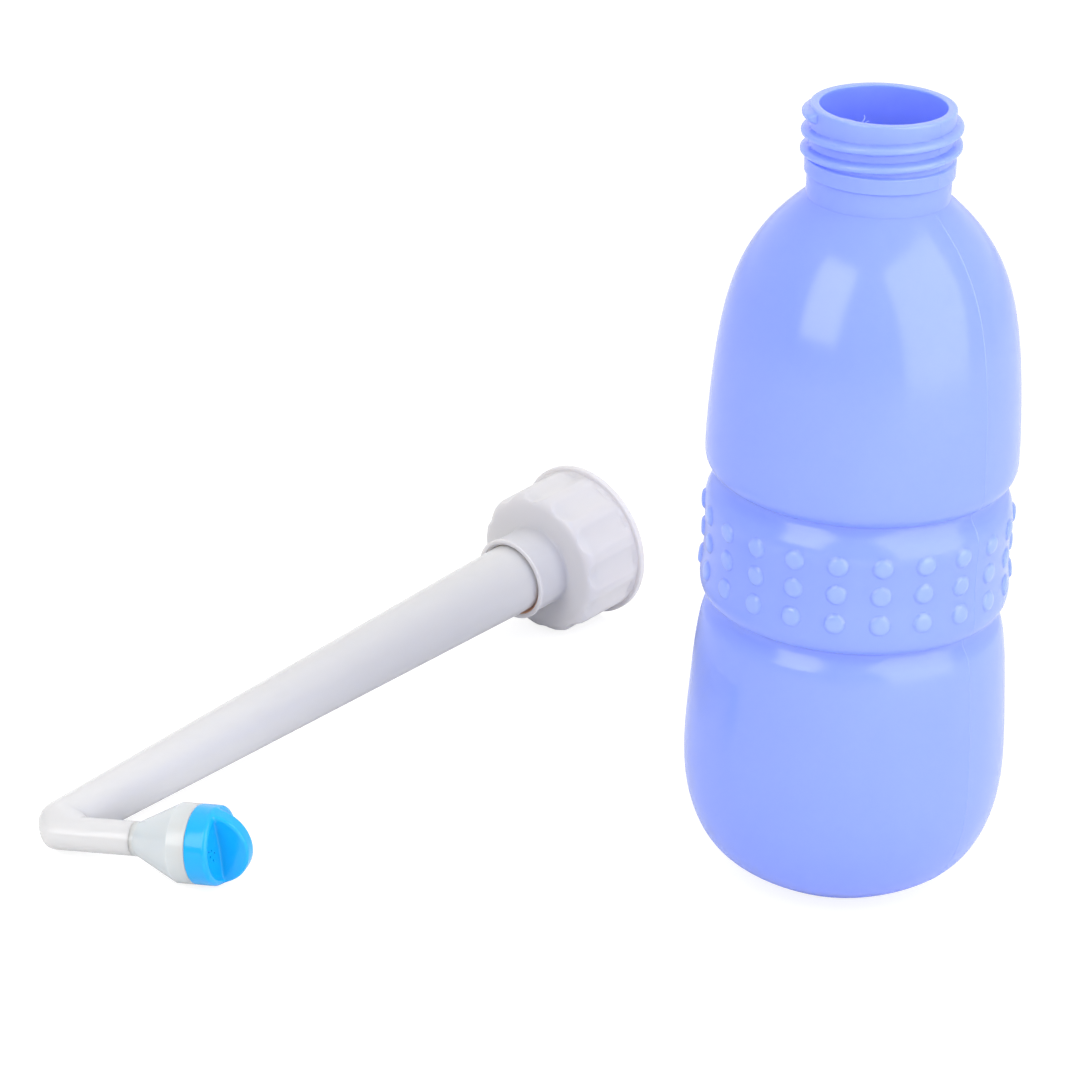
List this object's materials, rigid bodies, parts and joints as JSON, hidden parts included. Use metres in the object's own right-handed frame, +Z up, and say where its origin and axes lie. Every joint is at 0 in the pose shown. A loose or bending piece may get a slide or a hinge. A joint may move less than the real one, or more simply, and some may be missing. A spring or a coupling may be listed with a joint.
{
  "type": "squeeze rinse bottle",
  "caption": "Soft squeeze bottle with a dotted grip band and threaded neck, and its loose screw cap carrying a long bent spout with a turning spray nozzle.",
  "frame": {"origin": "centre of the bottle's base, on the surface it stands on", "axes": "+Z up along the bottle's axis; the cap and spout lie beside the bottle on the same surface, towards -X"},
  "size_m": [0.2422, 0.1984, 0.2022],
  "materials": {
    "bottle_plastic": "soft satin polyethylene, blow moulded, periwinkle blue",
    "cap_plastic": "satin white, injection moulded",
    "spout_plastic": "glossy white, injection moulded",
    "head_plastic": "milky translucent, smooth",
    "valve_plastic": "plain white",
    "knob_plastic": "glossy cyan blue",
    "seal_rubber": "soft silicone rubber"
  },
  "bodies": {
    "bottle": {"bottle": "bottle_plastic"},
    "cap": {"screw_cap": "cap_plastic", "cap_gasket": "seal_rubber"},
    "seal_ring": {"tube_o_ring": "seal_rubber"},
    "spout": {"spout_tube": "spout_plastic", "spray_head": "head_plastic", "valve_plate": "valve_plastic", "valve_seal": "seal_rubber"},
    "knob": {"spray_knob": "knob_plastic"}
  },
  "joints": [
    {"name": "cap_lift", "type": "slide", "parent": "bottle", "child": "cap", "axis": [0, 0, 1], "range_m": [0, 0.2]},
    {"name": "spout_slide", "type": "slide", "parent": "cap", "child": "seal_ring", "axis": [-0.5915, -0.8023, -0.0809], "range_m": [-0.15, 0]},
    {"name": "spout_swivel", "type": "hinge", "parent": "seal_ring", "child": "spout", "pos_m": [-0.08879, 0.12606, 0.02087], "axis": [-0.5915, -0.8023, -0.0809], "continuous": true},
    {"name": "knob_turn", "type": "hinge", "parent": "spout", "child": "knob", "pos_m": [-0.1583, -0.03266, 0.01063], "axis": [0.9674, -0.2258, 0.1149], "range_deg": [0, 90]}
  ]
}
